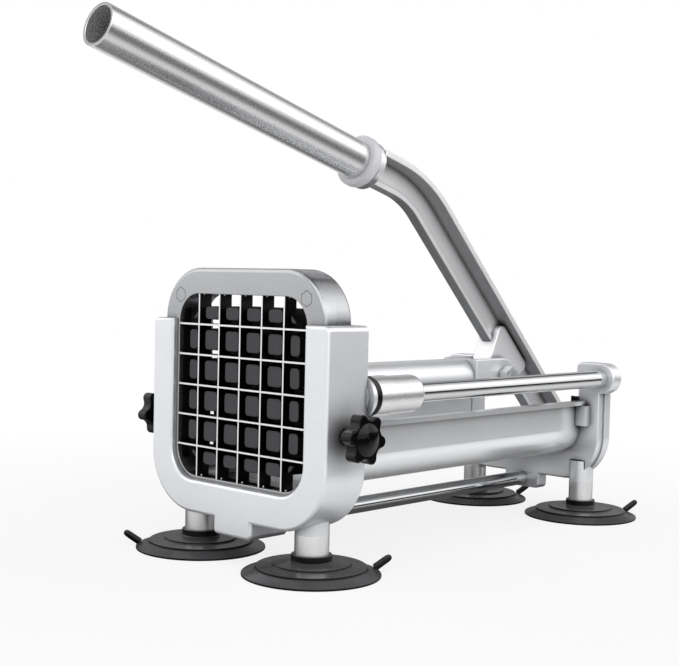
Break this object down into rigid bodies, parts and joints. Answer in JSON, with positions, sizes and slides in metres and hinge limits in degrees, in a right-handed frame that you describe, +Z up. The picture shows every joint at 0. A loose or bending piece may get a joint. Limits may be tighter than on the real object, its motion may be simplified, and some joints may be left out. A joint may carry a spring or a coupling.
{
  "type": "french fry cutter",
  "caption": "Hand-operated french fry cutter: a hinged lever and link drive a finger block along guide rods and a trough through a grid of blades; stands on suction cups.",
  "frame": {"origin": "on the bench surface, under the middle of the whole machine's width and length", "axes": "+X across the machine, +Y from the blades to the rear, +Z up"},
  "size_m": [0.1428, 0.3446, 0.2351],
  "materials": {
    "cast_metal": "satin cast",
    "cassette_metal": "satin cast",
    "lever_metal": "fine cast",
    "sleeve_metal": "turned satin",
    "sheet_steel": "brushed",
    "blade_steel": "ground",
    "rod_chrome": "polished",
    "handle_chrome": "satin chrome",
    "fastener_steel": "zinc plated",
    "bush_metal": "sintered bronze",
    "pusher_plastic": "moulded",
    "knob_plastic": "gloss",
    "collar_plastic": "semi-clear",
    "black_rubber": "satin rubber"
  },
  "bodies": {
    "frame": {"front_frame": "cast_metal", "rear_frame": "cast_metal", "cassette_front": "cassette_metal", "cassette_rear": "cassette_metal", "cassette_bolts": "fastener_steel", "cassette_nuts": "fastener_steel", "blades_vertical": "blade_steel", "blades_horizontal": "blade_steel", "guide_rod_left": "rod_chrome", "guide_rod_right": "rod_chrome", "tie_rod": "rod_chrome", "rod_screws": "fastener_steel", "trough": "sheet_steel", "trough_pads": "black_rubber", "front_posts": "sleeve_metal", "rear_posts": "sleeve_metal", "suction_cup_front_left": "black_rubber", "suction_cup_front_right": "black_rubber", "suction_cup_rear_left": "black_rubber", "suction_cup_rear_right": "black_rubber", "foot_screws": "fastener_steel", "pivot_bolt": "fastener_steel", "pivot_nut": "fastener_steel", "pivot_washers": "fastener_steel"},
    "pusher": {"finger_block": "pusher_plastic", "crosshead": "cast_metal", "finger_screws": "fastener_steel", "sleeve_left": "sleeve_metal", "sleeve_right": "sleeve_metal", "guide_bushes": "bush_metal", "bumper_left": "black_rubber", "bumper_right": "black_rubber", "hook_pin": "fastener_steel", "hook_pin_clips": "fastener_steel"},
    "link": {"link_bar": "cast_metal", "link_bolt": "fastener_steel", "link_nut": "fastener_steel"},
    "lever": {"lever": "lever_metal", "pivot_bush": "bush_metal", "collar_ring": "collar_plastic"},
    "handle": {"handle_tube": "handle_chrome"},
    "left_knob": {"knob_left": "knob_plastic", "knob_stud_left": "fastener_steel"},
    "right_knob": {"knob_right": "knob_plastic", "knob_stud_right": "fastener_steel"}
  },
  "joints": [
    {"name": "lever_hinge", "type": "hinge", "parent": "frame", "child": "lever", "pos_m": [0, 0.16333, 0.0356], "axis": [-1, 0, 0], "range_deg": [0, 80]},
    {"name": "pusher_slide", "type": "slide", "parent": "frame", "child": "pusher", "axis": [0, 1, 0], "range_m": [0, 0.1048]},
    {"name": "link_hinge", "type": "hinge", "parent": "lever", "child": "link", "pos_m": [0, 0.09223, 0.0774], "axis": [-1, 0, 0], "range_deg": [-95.5, 0]},
    {"name": "handle_turn", "type": "hinge", "parent": "lever", "child": "handle", "pos_m": [0, -0.01882, 0.18612], "axis": [0, -0.9668, 0.2554], "continuous": true},
    {"name": "left_knob_turn", "type": "hinge", "parent": "frame", "child": "left_knob", "pos_m": [-0.0574, -0.08287, 0.062], "axis": [-1, 0, 0], "continuous": true},
    {"name": "right_knob_turn", "type": "hinge", "parent": "frame", "child": "right_knob", "pos_m": [0.0574, -0.08287, 0.062], "axis": [1, 0, 0], "continuous": true}
  ],
  "couplings": [
    {"joint": "pusher_slide", "follows": "lever_hinge", "m_per_rad": 0.074976},
    {"joint": "link_hinge", "follows": "lever_hinge", "ratio": -1.1913}
  ]
}
